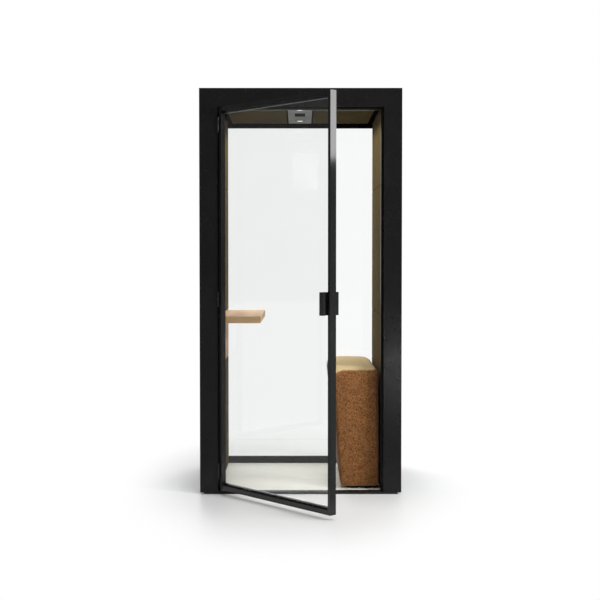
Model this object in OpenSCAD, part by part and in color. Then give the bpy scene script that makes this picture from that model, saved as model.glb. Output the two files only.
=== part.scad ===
// Acoustic office pod for one person: a black portal frame in front and behind, felt-lined side
// walls, a fixed glass back wall, an outward-opening glass door, a wall table and a loose perch seat.
// Millimetres. X runs left to right, Y from the door to the back wall, Z up.
// The origin is the centre of the footprint on the floor.

/* [Pod] */
// Overall width
pod_w = 1120; // [1080:10:1300]
// Overall depth
pod_d = 1000; // [960:10:1200]
// Overall height
pod_h = 2250; // [2200:10:2400]
// Height of the set-back plinth under the frame
plinth_h = 10; // [10:1:20]
// Face width of the portal posts
post_face = 101; // [90:1:120]
// Height of the front header
header_h = 103; // [90:1:130]
// Depth of the front portal
front_d = 70; // [65:1:100]
// Depth of the rear portal
rear_d = 45; // [45:1:70]

/* [Walls and ceiling] */
// Thickness of the felt panels
felt_t = 25; // [15:1:30]
// How far the felt stands inside the door jamb
felt_proud = 6; // [2:1:10]
// Thickness of the outer skins
skin_t = 10; // [6:1:12]
// Heights of the three felt seams
seam_z = [694, 991, 1733];
// Underside of the ceiling felt
ceiling_z = 2151; // [2149:1:2158]
// Width of the metal ceiling unit
unit_w = 140; // [120:2:160]

/* [Door] */
// Opening angle shown
door_open = 49; // [0:1:170]
// Thickness of the door leaf
leaf_t = 40; // [38:1:46]
// Face width of the upright stiles
stile_w = 18; // [14:1:20]
// Face height of the top and bottom rails
rail_h = 25; // [22:1:32]
// Thickness of the door glass
glass_t = 10; // [8:1:12]
// Height of the pull handles
pull_h = 116; // [90:2:160]

/* [Table and seat] */
// Height of the table surface
table_z = 986; // [960:1:988]
// Reach of the table from the wall
table_reach = 232; // [200:1:280]
// Thickness of the table
table_t = 38; // [25:1:40]
// Height of the seat surface
seat_z = 707; // [600:1:720]
// Width of the seat at its top
seat_top_w = 286; // [240:1:300]
// Width of the seat at its foot
seat_foot_w = 221; // [200:1:230]
// Length of the seat, front to back
seat_l = 765; // [600:5:780]

/* [Hidden] */
$fn = 48;

BLACK = "#1c1b1b";
FELT = "#6b6043";
OAK = "#c9a27a";
GREY = "#8b908d";
RUBBER = "#101010";
STEEL = "#b5b7b8";
CREAM = "#d8d6c8";
GLASS = [0.80, 0.87, 0.86, 0.30];

eps = 1;                                  // overrun of a cutting tool past a face
sheet = 3;                                // wall of the hollow frame sections
edge = 1.5;                               // bevel on the frame's outer edges

half_w = pod_w / 2;
front_y = -pod_d / 2;
rear_y = pod_d / 2;
jamb_x = half_w - post_face;              // inner faces of the door jambs
lintel_z = pod_h - header_h;              // underside of the front header
wall_y0 = front_y + front_d;              // front ends of the side walls
wall_y1 = rear_y - rear_d;                // back ends of the side walls
felt_x = jamb_x - felt_proud;             // visible faces of the felt
frame_x = felt_x + felt_t;                // back faces of the felt
skin_recess = 2;
skin_x = half_w - skin_recess - skin_t;   // inner faces of the outer skins
floor_t = 2;
floor_z = plinth_h + floor_t;             // finished floor
threshold_t = 5.5;
threshold_z = plinth_h + threshold_t;     // top of the threshold plate

// Base
base_inset = 20;
base_inset_y = 2;
foot_x = half_w - post_face / 2;
foot_ys = [front_y + front_d / 2, rear_y - 30];
pad_r = 14;
pad_t = 5;
stem_r = 5;
stem_top = plinth_h + 45;
threshold_y0 = front_y + 3;
threshold_y1 = front_y + 45;

// Rear glazing
rear_lintel_z = pod_h - 114;
rear_sill_z = floor_z + 39;
groove_deep = 12;
groove_y0 = wall_y1 + 14;
groove_y1 = groove_y0 + 16;
rear_glass_t = 10;
rear_glass_y0 = groove_y0 + 3;
web = 4;                                  // wall between the glazing groove and the hollow section
seal_lip = 2;

// Side walls
stud = 40;
seam_gap = 2;
felt_bevel = 3;
ceiling_felt_t = 15;
board_z = ceiling_z + ceiling_felt_t;     // underside of the ceiling board
board_t = 12;
deck_z = board_z + board_t;               // top of the ceiling board
roof_recess = 3;
roof_t = 12;
roof_z = pod_h - roof_recess - roof_t;    // underside of the roof panel
rail_half = stud / 2;
bays = [
    [plinth_h + stud, seam_z[0] - rail_half],
    [seam_z[0] + rail_half, seam_z[1] - rail_half],
    [seam_z[1] + rail_half, seam_z[2] - rail_half],
    [seam_z[2] + rail_half, board_z - rail_half]
];
rows = [
    [floor_z, seam_z[0] - seam_gap / 2],
    [seam_z[0] + seam_gap / 2, seam_z[1] - seam_gap / 2],
    [seam_z[1] + seam_gap / 2, seam_z[2] - seam_gap / 2],
    [seam_z[2] + seam_gap / 2, board_z]
];

// Ceiling
unit_y0 = wall_y0 + 10;
shadow_gap_back = 95;
unit_y1 = wall_y1 - shadow_gap_back;
unit_sheet = 2.5;
unit_gap = 8;
felt_margin = 34;                         // shadow gap between the ceiling felt and the wall felt
spot_ys = [-340, 192];
trim_r = 31;
trim_neck_r = 27;
trim_bore_r = 22;
trim_proud = 5;                           // how far the spots stand below the ceiling unit
trim_lip_t = 1.5;
lens_r = 21.7;
lens_t = 4;
lens_z = trim_lip_t - trim_proud;          // underside of the lenses, from the unit's underside
vent_y = -76;
vent_w = 60;
vent_l = 160;

// Fans and roof vents
fan_w = 120;
fan_t = 25;
fan_bore_r = 57;
fan_hub_r = 20;
fan_ys = [wall_y1 - 61, vent_y];          // intake behind, exhaust over the ceiling vent
axle_r = 2;
axle_play = 0.05;
fan_plate = 3;
spigot_r = 51.7;
spigot_wall = 3;
vent_flange_r = 58;
vent_flange_t = 2;
gland_x = 300;
gland_y = wall_y1 - 75;
gland_bore_r = 6;

// Door leaf, drawn closed and then turned about its hinge pins
door_gap = 5;
leaf_x = jamb_x - door_gap;
leaf_y0 = front_y - 2;
leaf_y1 = leaf_y0 + leaf_t;
leaf_z0 = threshold_z + 12;
leaf_z1 = lintel_z - 3;
flange_d = 15;
leg_t = 6;
bead_w = 4;
bead_rise = 10;                           // how far the inner beads stand past the rails
glass_y0 = leaf_y0 + flange_d;
glass_y1 = glass_y0 + glass_t;
glass_play = 2;
barrel_r = 6.5;
pivot_x = -leaf_x - 2.5;
pivot_y = leaf_y0 - barrel_r;
hinge_h = 82;
hinge_zs = [leaf_z0 + 106, (leaf_z0 + leaf_z1) / 2, leaf_z1 - 97];
hinge_plate_t = 2;
hinge_plate_y1 = front_y + 32;
barrel_gap = 0.25;
pin_r = 3.5;
pin_play = 0.05;

// Door stop and seals
joint_gap = 0.2;                          // hairline where two trim strips butt together
stop_proud = 12.5;
stop_y0 = threshold_y1;
stop_d = 18;
seal_w = 8;
seal_reach = 6.5;
drop_w = 8;
drop_h = 20;
drop_play = 0.3;

// Pull handles
pull_z = (leaf_z0 + leaf_z1) / 2;
pull_wall = 3;
outer_pull_w = 27;                        // width of the grip
outer_pull_reach = 47.5;
outer_pull_lip = 15;                      // how far the grip folds back towards the leaf
outer_pull_foot = 41;                     // width of the flange on the leaf
inner_pull_w = 43;
inner_pull_reach = 27;
outer_setback = 1;
inner_setback = 10.5;
boss_r = 6;
bolt_r = 2.5;
bolt_play = 0.2;
bolt_head_r = 4.5;
bolt_head_t = 3;
bolt_x = leaf_x - 34;
bolt_pitch = 70;

// Table, power module and button
table_y0 = front_y + 90;
table_y1 = wall_y1 - 5;
arm_w = 40;
arm_t = 6;
arm_reach = 200;
arm_pitch = 500;
arm_plate_z0 = table_z - 86;
arm_play = 0.3;
module_y = -100;
module_z = 1070;
module_w = 144;
module_h = 56;
plate_t = 3;
plate_margin = 8;
socket_r = 19;
socket_d = 14;
socket_ys = [-48, 0];
pin_hole_r = 2.5;
pin_hole_pitch = 19;
button_y = 48;
button_r = 10;
button_t = 6;
button_proud = 3;
button_stem_r = 4;
button_stem_l = 14;
button_play = 0.3;
stem_play = 0.05;

// Seat
seat_right = jamb_x - 13;
seat_y0 = front_y + 85;
seat_bottom = 22;
seat_wall_r = 60;                         // rounding of the top edge along the wall
seat_top_r = 40;
seat_foot_r = 18;
seat_plate_t = 3;
seat_plate_inset = 36;
seat_foot_pad_r = 24;
seat_foot_pitch = 78;

// ---- helpers ----

// A block from its low corner to its high corner.
module block(lo, hi) {
    translate(lo) cube(hi - lo);
}

// Children as drawn for the right side, and mirrored to the left.
module both_sides() {
    children();
    mirror([1, 0, 0]) children();
}

// Extrudes an outline drawn in X and Z along Y.
module along_y(y0, y1) {
    translate([0, y1, 0]) rotate([90, 0, 0]) linear_extrude(y1 - y0) children();
}

// Extrudes an outline drawn in Y and Z along X.
module along_x(x0, x1) {
    translate([x0, 0, 0]) rotate([90, 0, 90]) linear_extrude(x1 - x0) children();
}

// Turns the closed door leaf open about its hinge pins.
module on_door() {
    translate([pivot_x, pivot_y, 0])
        rotate([0, 0, -door_open])
            translate([-pivot_x, -pivot_y, 0])
                children();
}

// The right-hand corner piece that a mitre cut removes from a post, or keeps for a header.
module mitre_side(z_low, y0, y1) {
    along_y(y0, y1)
        polygon([
            [jamb_x - post_face, z_low - (pod_h - z_low)],
            [half_w + post_face, pod_h + (pod_h - z_low)],
            [jamb_x - post_face, pod_h + (pod_h - z_low)]
        ]);
}

// ---- base ----

module foot_places() {
    for (y = foot_ys) both_sides() translate([foot_x, y, 0]) children();
}

module base_plate() {
    color(BLACK)
        difference() {
            block(
                [-half_w + base_inset, front_y + base_inset_y, 0],
                [half_w - base_inset, rear_y - base_inset_y, plinth_h]
            );
            foot_places() {
                translate([0, 0, -eps]) cylinder(r = pad_r + 1, h = pad_t + eps);
                cylinder(r = stem_r + 0.3, h = plinth_h + eps);
            }
        }
}

// Screw-adjusted feet: a pad let into the plinth, a stem and a lock nut inside the post.
module leveling_feet() {
    color(STEEL)
        foot_places() {
            cylinder(r = pad_r, h = pad_t);
            cylinder(r = stem_r, h = stem_top);
            translate([0, 0, plinth_h]) cylinder(r = 9, h = 8, $fn = 6);
        }
}

module floor_covering() {
    color(CREAM) {
        block([-frame_x, wall_y0, plinth_h], [frame_x, wall_y1, floor_z]);
        block([-jamb_x, threshold_y1, plinth_h], [jamb_x, wall_y0 + eps, floor_z]);
    }
}

module threshold_plate() {
    color(BLACK)
        along_x(-jamb_x, jamb_x)
            polygon([
                [threshold_y0, plinth_h], [threshold_y1, plinth_h], [threshold_y1, threshold_z],
                [threshold_y0 + 2, threshold_z], [threshold_y0, threshold_z - 2]
            ]);
}

// ---- portal frames ----

// Hollow front post with bevelled outer edges, mitred at the top, drawn on the right.
module front_post() {
    color(BLACK)
        difference() {
            translate([0, 0, plinth_h])
                linear_extrude(pod_h - plinth_h)
                    difference() {
                        polygon([
                            [jamb_x, front_y + edge], [jamb_x + edge, front_y],
                            [half_w - edge, front_y], [half_w, front_y + edge],
                            [half_w, wall_y0], [jamb_x, wall_y0]
                        ]);
                        translate([jamb_x + sheet, front_y + sheet])
                            square([post_face - 2 * sheet, front_d - 2 * sheet]);
                    }
            mitre_side(lintel_z, front_y - eps, wall_y0 + eps);
        }
}

module front_right_post() {
    front_post();
}

module front_left_post() {
    mirror([1, 0, 0]) front_post();
}

module front_header() {
    color(BLACK)
        intersection() {
            along_x(-half_w, half_w)
                difference() {
                    polygon([
                        [front_y + edge, lintel_z], [front_y, lintel_z + edge],
                        [front_y, pod_h - edge], [front_y + edge, pod_h],
                        [wall_y0, pod_h], [wall_y0, lintel_z]
                    ]);
                    translate([front_y + sheet, lintel_z + sheet])
                        square([front_d - 2 * sheet, header_h - 2 * sheet]);
                }
            along_y(front_y - eps, wall_y0 + eps)
                polygon([[-half_w, pod_h], [half_w, pod_h], [jamb_x, lintel_z], [-jamb_x, lintel_z]]);
        }
}

// Hollow rear post with a groove for the glass, drawn on the right.
module rear_post() {
    color(BLACK)
        difference() {
            translate([0, 0, plinth_h])
                linear_extrude(pod_h - plinth_h)
                    difference() {
                        polygon([
                            [jamb_x, wall_y1], [half_w, wall_y1], [half_w, rear_y - edge],
                            [half_w - edge, rear_y], [jamb_x + edge, rear_y], [jamb_x, rear_y - edge]
                        ]);
                        translate([jamb_x + groove_deep + web, wall_y1 + sheet])
                            square([post_face - groove_deep - web - sheet, rear_d - 2 * sheet]);
                        translate([jamb_x - eps, groove_y0])
                            square([groove_deep + eps, groove_y1 - groove_y0]);
                    }
            mitre_side(rear_lintel_z, wall_y1 - eps, rear_y + eps);
        }
}

module rear_right_post() {
    rear_post();
}

module rear_left_post() {
    mirror([1, 0, 0]) rear_post();
}

module rear_header() {
    color(BLACK)
        intersection() {
            along_x(-half_w, half_w)
                difference() {
                    polygon([
                        [wall_y1, rear_lintel_z], [rear_y - edge, rear_lintel_z], [rear_y, rear_lintel_z + edge],
                        [rear_y, pod_h - edge], [rear_y - edge, pod_h], [wall_y1, pod_h]
                    ]);
                    translate([wall_y1 + sheet, rear_lintel_z + groove_deep + web])
                        square([rear_d - 2 * sheet, pod_h - rear_lintel_z - groove_deep - web - sheet]);
                    translate([groove_y0, rear_lintel_z - eps])
                        square([groove_y1 - groove_y0, groove_deep + eps]);
                }
            along_y(wall_y1 - eps, rear_y + eps)
                polygon([
                    [-half_w, pod_h], [half_w, pod_h], [jamb_x, rear_lintel_z], [-jamb_x, rear_lintel_z]
                ]);
        }
}

module rear_bottom_rail() {
    color(BLACK)
        along_x(-jamb_x, jamb_x)
            difference() {
                translate([wall_y1, plinth_h]) square([rear_d, rear_sill_z - plinth_h]);
                translate([wall_y1 + sheet, plinth_h + sheet])
                    square([rear_d - 2 * sheet, rear_sill_z - plinth_h - groove_deep - web - sheet]);
                translate([groove_y0, rear_sill_z - groove_deep])
                    square([groove_y1 - groove_y0, groove_deep + eps]);
            }
}

// Angle cleats that pull the mitres together, hidden in the hollow sections.
module corner_cleat(y0, y1) {
    leg = 12;
    long = 130;
    along_y(y0, y1)
        polygon([
            [half_w - sheet, pod_h - sheet], [half_w - sheet - long, pod_h - sheet],
            [half_w - sheet - long, pod_h - sheet - leg], [half_w - sheet - leg, pod_h - sheet - leg],
            [half_w - sheet - leg, pod_h - sheet - long], [half_w - sheet, pod_h - sheet - long]
        ]);
}

module corner_brackets() {
    color(STEEL)
        both_sides() {
            corner_cleat(front_y + 10, wall_y0 - 10);
            corner_cleat(wall_y1 + 8, rear_y - 8);
        }
}

module rear_glass_pane(grow) {
    block(
        [-jamb_x - groove_deep + glass_play - grow, rear_glass_y0, rear_sill_z - groove_deep + glass_play - grow],
        [jamb_x + groove_deep - glass_play + grow, rear_glass_y0 + rear_glass_t,
         rear_lintel_z + groove_deep - glass_play + grow]
    );
}

module rear_glass() {
    color(GLASS) rear_glass_pane(0);
}

// Gasket that fills the groove round the glass and shows as a thin lip.
module rear_glass_seal() {
    color(RUBBER)
        difference() {
            block(
                [-jamb_x - groove_deep, groove_y0, rear_sill_z - groove_deep],
                [jamb_x + groove_deep, groove_y1, rear_lintel_z + groove_deep]
            );
            block(
                [-jamb_x + seal_lip, groove_y0 - eps, rear_sill_z + seal_lip],
                [jamb_x - seal_lip, groove_y1 + eps, rear_lintel_z - seal_lip]
            );
            rear_glass_pane(0);
        }
}

// ---- side walls ----

module outer_panel() {
    color(BLACK)
        block([skin_x, wall_y0, plinth_h], [skin_x + skin_t, wall_y1, pod_h - roof_recess]);
}

module right_outer_panel() {
    outer_panel();
}

module left_outer_panel() {
    mirror([1, 0, 0]) outer_panel();
}

module wall_bays() {
    for (bay = bays)
        block([frame_x, wall_y0 + stud, bay[0]], [skin_x, wall_y1 - stud, bay[1]]);
}

// Timber studwork with a rail behind every felt seam.
module wall_frame() {
    color("#c8a878")
        difference() {
            block([frame_x, wall_y0, plinth_h], [skin_x, wall_y1, roof_z]);
            for (bay = bays)
                block([frame_x - eps, wall_y0 + stud, bay[0]], [skin_x + eps, wall_y1 - stud, bay[1]]);
        }
}

module right_wall_frame() {
    wall_frame();
}

module left_wall_frame() {
    mirror([1, 0, 0]) wall_frame();
}

module wall_insulation() {
    color("#d9c9a0") both_sides() wall_bays();
}

// One lining panel between two heights, with bevelled long edges, drawn on the right.
module lining_panel(row) {
    along_y(wall_y0, wall_y1)
        polygon([
            [frame_x, row[0]], [frame_x, row[1]],
            [felt_x + felt_bevel, row[1]], [felt_x, row[1] - felt_bevel],
            [felt_x, row[0] + felt_bevel], [felt_x + felt_bevel, row[0]]
        ]);
}

module left_lower_felt() {
    color(FELT) mirror([1, 0, 0]) lining_panel(rows[0]);
}

// Board behind the table, pocketed at the back for the steel plates and slotted for their arms.
module table_back_board() {
    z0 = table_z - table_t;
    color(OAK)
        difference() {
            mirror([1, 0, 0]) lining_panel(rows[1]);
            arm_places() {
                block(
                    [-frame_x - eps, -arm_w / 2 - arm_play, arm_plate_z0 - arm_play],
                    [-frame_x + arm_t, arm_w / 2 + arm_play, rows[1][1] + eps]
                );
                block(
                    [-frame_x - eps, -arm_w / 2 - arm_play, z0 - arm_play],
                    [-felt_x + eps, arm_w / 2 + arm_play, z0 + arm_t + arm_play]
                );
            }
        }
}

module left_upper_felts() {
    color(FELT)
        difference() {
            mirror([1, 0, 0]) {
                lining_panel(rows[2]);
                lining_panel(rows[3]);
            }
            block(
                [-frame_x - eps, module_y - module_w / 2, module_z - module_h / 2],
                [-felt_x + eps, module_y + module_w / 2, module_z + module_h / 2]
            );
        }
}

module right_lower_felts() {
    color(FELT) {
        lining_panel(rows[0]);
        lining_panel(rows[1]);
    }
}

module right_upper_felts() {
    color(FELT) {
        lining_panel(rows[2]);
        lining_panel(rows[3]);
    }
}

// ---- ceiling and roof ----

// Black board over the cabin, with air slots at the back and a hole under the exhaust fan.
module ceiling_board() {
    slot_w = 8;
    slot_pitch = 14;
    color(BLACK)
        difference() {
            block([-frame_x, wall_y0, board_z], [frame_x, wall_y1, deck_z]);
            translate([0, vent_y, board_z - eps]) cylinder(r = 45, h = board_t + 2 * eps);
            for (i = [-3 : 3])
                block(
                    [i * slot_pitch - slot_w / 2, wall_y1 - 70, board_z - eps],
                    [i * slot_pitch + slot_w / 2, wall_y1 - 10, deck_z + eps]
                );
        }
}

module ceiling_felts() {
    x0 = unit_w / 2 + unit_gap;
    x1 = felt_x - felt_margin;
    color(FELT)
        both_sides()
            along_y(wall_y0 + 6, unit_y1)
                polygon([
                    [x0 + 2, ceiling_z], [x1 - 2, ceiling_z], [x1, ceiling_z + 2],
                    [x1, board_z], [x0, board_z], [x0, ceiling_z + 2]
                ]);
}

module vent_opening(z0, z1) {
    block([-vent_w / 2, vent_y - vent_l / 2, z0], [vent_w / 2, vent_y + vent_l / 2, z1]);
}

// Folded metal tray that carries the spots and the vent.
module ceiling_unit() {
    color(GREY)
        difference() {
            block([-unit_w / 2, unit_y0, ceiling_z], [unit_w / 2, unit_y1, board_z]);
            block(
                [-unit_w / 2 + unit_sheet, unit_y0 + unit_sheet, ceiling_z + unit_sheet],
                [unit_w / 2 - unit_sheet, unit_y1 - unit_sheet, board_z + eps]
            );
            vent_opening(ceiling_z - eps, board_z);
            for (y = spot_ys)
                translate([0, y, ceiling_z - eps]) cylinder(r = trim_neck_r + 0.3, h = 10);
        }
}

module spot_places() {
    for (y = spot_ys) translate([0, y, ceiling_z]) children();
}

module light_trims() {
    color(GREY)
        spot_places()
            rotate_extrude()
                polygon([
                    [trim_bore_r - 2, -trim_proud], [trim_r - 0.5, -trim_proud], [trim_r, -trim_proud + 0.5],
                    [trim_r, 0], [trim_neck_r, 0], [trim_neck_r, 10], [trim_bore_r, 10],
                    [trim_bore_r, -trim_proud + trim_lip_t], [trim_bore_r - 2, -trim_proud + trim_lip_t]
                ]);
}

module light_lenses() {
    color("white") spot_places() translate([0, 0, lens_z]) cylinder(r = lens_r, h = lens_t);
}

// LED boards with their heat sinks, sitting on the lenses inside the trims.
module lamp_modules() {
    color(STEEL) spot_places() translate([0, 0, lens_z + lens_t]) cylinder(r = lens_r, h = 8);
}

module vent_grille() {
    slats = 8;
    pitch = vent_l / slats;
    rim = 6;
    top = ceiling_z + unit_sheet;
    color(BLACK) {
        difference() {
            block(
                [-vent_w / 2 - rim, vent_y - vent_l / 2 - rim, top],
                [vent_w / 2 + rim, vent_y + vent_l / 2 + rim, top + 2]
            );
            block(
                [-vent_w / 2 + 1, vent_y - vent_l / 2 + 1, top - eps],
                [vent_w / 2 - 1, vent_y + vent_l / 2 - 1, top + 2 + eps]
            );
        }
        for (i = [0 : slats - 1])
            translate([-vent_w / 2, vent_y - vent_l / 2 + (i + 0.5) * pitch - 2, ceiling_z + 1])
                cube([vent_w, 4, unit_sheet + 1]);
    }
}

module led_driver() {
    x = 220;
    y = -280;
    color("white") {
        block([x - 75, y - 22, deck_z], [x + 75, y + 22, deck_z + 28]);
        block([x - 88, y - 14, deck_z], [x + 88, y + 14, deck_z + 3]);
    }
}

// Square fan frame with a round bore, four struts, a motor plate and the axle.
module fan_frame() {
    color(RUBBER) {
        difference() {
            translate([-fan_w / 2, -fan_w / 2, deck_z]) cube([fan_w, fan_w, fan_t]);
            translate([0, 0, deck_z - eps]) cylinder(r = fan_bore_r, h = fan_t + 2 * eps);
        }
        translate([0, 0, deck_z]) cylinder(r = fan_hub_r, h = fan_plate);
        translate([0, 0, deck_z]) cylinder(r = axle_r, h = fan_t - 6);
        for (a = [45, 135])
            rotate([0, 0, a]) translate([-fan_bore_r - 1, -3, deck_z]) cube([2 * fan_bore_r + 2, 6, fan_plate]);
    }
}

module fan_frames() {
    for (y = fan_ys) translate([0, y, 0]) fan_frame();
}

// Hub and seven pitched blades, turning on the axle.
module fan_rotor(y) {
    blades = 7;
    pitch = 38;
    chord = 25;
    reach = fan_bore_r - 5;
    root = fan_hub_r - 4;
    thick = 2.5;
    tall = fan_t - fan_plate - 3;
    color("#303030")
        translate([0, y, deck_z + fan_plate + 1])
            difference() {
                union() {
                    cylinder(r = fan_hub_r, h = tall);
                    for (i = [0 : blades - 1])
                        rotate([0, 0, i * 360 / blades])
                            translate([root, 0, tall / 2])
                                rotate([pitch, 0, 0])
                                    translate([0, -chord / 2, -thick / 2])
                                        cube([reach - root, chord, thick]);
                }
                translate([0, 0, -eps]) cylinder(r = axle_r + axle_play, h = tall - 2 + eps);
            }
}

module intake_fan_rotor() {
    fan_rotor(fan_ys[0]);
}

module exhaust_fan_rotor() {
    fan_rotor(fan_ys[1]);
}

module roof_panel() {
    color(BLACK)
        difference() {
            block([-skin_x, wall_y0, roof_z], [skin_x, wall_y1, roof_z + roof_t]);
            for (y = fan_ys)
                translate([0, y, roof_z - eps]) cylinder(r = spigot_r + 0.3, h = roof_t + 2 * eps);
            translate([gland_x, gland_y, roof_z - eps]) cylinder(r = 14, h = roof_t + 2 * eps);
        }
}

// Round vent with a flange on the roof, a spigot down to the fan and a bar grille.
module roof_vent() {
    top = roof_z + roof_t;
    spigot_z = deck_z + fan_t;
    bar_pitch = 12;
    difference() {
        union() {
            translate([0, 0, top]) cylinder(r = vent_flange_r, h = vent_flange_t);
            translate([0, 0, spigot_z]) cylinder(r = spigot_r, h = top - spigot_z + eps);
        }
        translate([0, 0, spigot_z - eps]) cylinder(r = spigot_r - spigot_wall, h = top - spigot_z + 5);
    }
    intersection() {
        translate([0, 0, top - 4]) cylinder(r = spigot_r - 1, h = 4 + vent_flange_t);
        for (i = [-3 : 3])
            translate([-spigot_r, i * bar_pitch - 1.5, top - 4]) cube([2 * spigot_r, 3, 4 + vent_flange_t]);
    }
}

module roof_vents() {
    color(BLACK) for (y = fan_ys) translate([0, y, 0]) roof_vent();
}

// Power cable gland: a flanged bush from above and its lock nut from below.
module cable_gland() {
    neck_r = 13.7;
    color(RUBBER)
        translate([gland_x, gland_y, 0]) {
            difference() {
                union() {
                    translate([0, 0, roof_z + roof_t]) cylinder(r = 18, h = 2.5);
                    translate([0, 0, roof_z - 10]) cylinder(r = neck_r, h = roof_t + 11);
                }
                translate([0, 0, roof_z - 11]) cylinder(r = gland_bore_r, h = roof_t + 20);
            }
            translate([0, 0, roof_z - 6])
                difference() {
                    cylinder(r = 20, h = 6, $fn = 6);
                    translate([0, 0, -eps]) cylinder(r = neck_r + 0.3, h = 8);
                }
        }
}

// ---- table, power module and button ----

module table_top() {
    x0 = -felt_x;
    x1 = -felt_x + table_reach;
    z0 = table_z - table_t;
    color(OAK)
        difference() {
            along_y(table_y0, table_y1)
                polygon([
                    [x0, z0], [x1 - edge, z0], [x1, z0 + edge],
                    [x1, table_z - edge], [x1 - edge, table_z], [x0, table_z]
                ]);
            arm_places()
                block(
                    [x0 - eps, -arm_w / 2 - arm_play, z0 - eps],
                    [x0 + arm_reach + arm_play, arm_w / 2 + arm_play, z0 + arm_t]
                );
        }
}

module arm_places() {
    mid = (table_y0 + table_y1) / 2;
    for (s = [-1, 1]) translate([0, mid + s * arm_pitch / 2, 0]) children();
}

// Steel arms let into the underside of the table, each welded to a plate behind the board.
module table_brackets() {
    z0 = table_z - table_t;
    color(BLACK)
        arm_places() {
            block([-frame_x, -arm_w / 2, arm_plate_z0], [-frame_x + arm_t, arm_w / 2, rows[1][1]]);
            block([-frame_x, -arm_w / 2, z0], [-felt_x + arm_reach, arm_w / 2, z0 + arm_t]);
        }
}

// Faces into the cabin: local X runs out of the wall, and the plate's face is at X = plate_t.
module at_module() {
    translate([-felt_x, module_y, module_z]) children();
}

module facing_cabin(y, x) {
    translate([x, y, 0]) rotate([0, -90, 0]) children();
}

module power_module() {
    color(RUBBER)
        at_module()
            difference() {
                union() {
                    block([-felt_t, -module_w / 2, -module_h / 2], [0, module_w / 2, module_h / 2]);
                    block(
                        [0, -module_w / 2 - plate_margin, -module_h / 2 - plate_margin / 2],
                        [plate_t, module_w / 2 + plate_margin, module_h / 2 + plate_margin / 2]
                    );
                }
                for (y = socket_ys) {
                    facing_cabin(y, plate_t + eps) cylinder(r = socket_r, h = socket_d + eps);
                    for (s = [-1, 1])
                        facing_cabin(y + s * pin_hole_pitch / 2, 0) cylinder(r = pin_hole_r, h = felt_t - 4);
                }
                facing_cabin(button_y, plate_t + eps)
                    cylinder(r = button_r + button_play, h = button_t + 1 + eps);
                facing_cabin(button_y, 0)
                    cylinder(r = button_stem_r + stem_play, h = felt_t - 3);
            }
}

// Push button for the light, with its stem in the module.
module light_button() {
    cap_back = plate_t + button_proud - button_t;
    color(GREY)
        at_module() {
            facing_cabin(button_y, plate_t + button_proud) cylinder(r = button_r, h = button_t);
            facing_cabin(button_y, cap_back + eps) cylinder(r = button_stem_r, h = button_stem_l + eps);
        }
}

// ---- door stop and seal on the frame ----

// Three strips that the closed leaf's seal lands on.
module door_stop() {
    y1 = stop_y0 + stop_d;
    z = lintel_z - stop_proud;
    color(BLACK) {
        both_sides() block([jamb_x - stop_proud, stop_y0, floor_z], [jamb_x, y1, z - joint_gap]);
        block([-jamb_x, stop_y0, z], [jamb_x, y1, lintel_z]);
    }
}

module seal_profile() {
    polygon([
        [0, 0], [seal_w, 0], [seal_w, -seal_reach + 2.5], [seal_w - 2, -seal_reach],
        [2, -seal_reach], [0, -seal_reach + 2.5]
    ]);
}

// Compression seal on the front of the stop.
module door_seal() {
    x = jamb_x - stop_proud + 1;
    z = lintel_z - stop_proud + 1;
    color(RUBBER) {
        both_sides()
            translate([x, stop_y0, threshold_z]) linear_extrude(z - joint_gap - threshold_z) seal_profile();
        translate([-x - seal_w, stop_y0, z])
            rotate([90, 0, 90])
                linear_extrude(2 * (x + seal_w))
                    polygon([
                        [0, 0], [0, seal_w], [-seal_reach + 2.5, seal_w], [-seal_reach, seal_w - 2],
                        [-seal_reach, 2], [-seal_reach + 2.5, 0]
                    ]);
    }
}

// ---- hinges ----

module hinge_places() {
    for (z = hinge_zs) translate([0, 0, z]) children();
}

// Lower barrel and plate, fixed to the jamb.
module hinge_frame_halves() {
    low = -hinge_h / 2;
    color(BLACK)
        hinge_places()
            difference() {
                union() {
                    translate([pivot_x, pivot_y, low]) cylinder(r = barrel_r, h = -low - barrel_gap);
                    block([-jamb_x, front_y, low], [-jamb_x + hinge_plate_t, hinge_plate_y1, -low]);
                    block([-jamb_x, front_y - 4, low], [-jamb_x + hinge_plate_t, front_y + eps, -barrel_gap]);
                }
                translate([pivot_x, pivot_y, low - eps]) cylinder(r = pin_r, h = hinge_h);
            }
}

module hinge_pins() {
    color(STEEL)
        hinge_places()
            translate([pivot_x, pivot_y, -hinge_h / 2]) cylinder(r = pin_r, h = hinge_h - 5);
}

// Upper barrel and plate, fixed to the leaf's edge.
module hinge_door_halves() {
    high = hinge_h / 2;
    color(BLACK)
        on_door()
            hinge_places()
                difference() {
                    union() {
                        translate([pivot_x, pivot_y, barrel_gap]) cylinder(r = barrel_r, h = high - barrel_gap);
                        block([-leaf_x - hinge_plate_t, front_y, -high], [-leaf_x, hinge_plate_y1, high]);
                        block([-leaf_x - hinge_plate_t, front_y - 4, barrel_gap], [-leaf_x, front_y + eps, high]);
                    }
                    translate([pivot_x, pivot_y, -eps]) cylinder(r = pin_r + pin_play, h = high - 4 + eps);
                }
}

// ---- door leaf ----

// Stepped stile, drawn on the right: a box in front of the glass and a thin leg beside it.
module stile() {
    bevel = 1;
    translate([0, 0, leaf_z0])
        linear_extrude(leaf_z1 - leaf_z0)
            polygon([
                [leaf_x - stile_w, leaf_y0 + bevel], [leaf_x - stile_w + bevel, leaf_y0],
                [leaf_x - bevel, leaf_y0], [leaf_x, leaf_y0 + bevel],
                [leaf_x, leaf_y1], [leaf_x - leg_t, leaf_y1],
                [leaf_x - leg_t, glass_y0], [leaf_x - stile_w, glass_y0]
            ]);
}

module door_latch_stile() {
    color(BLACK) on_door() stile();
}

module door_hinge_stile() {
    color(BLACK) on_door() mirror([1, 0, 0]) stile();
}

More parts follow.
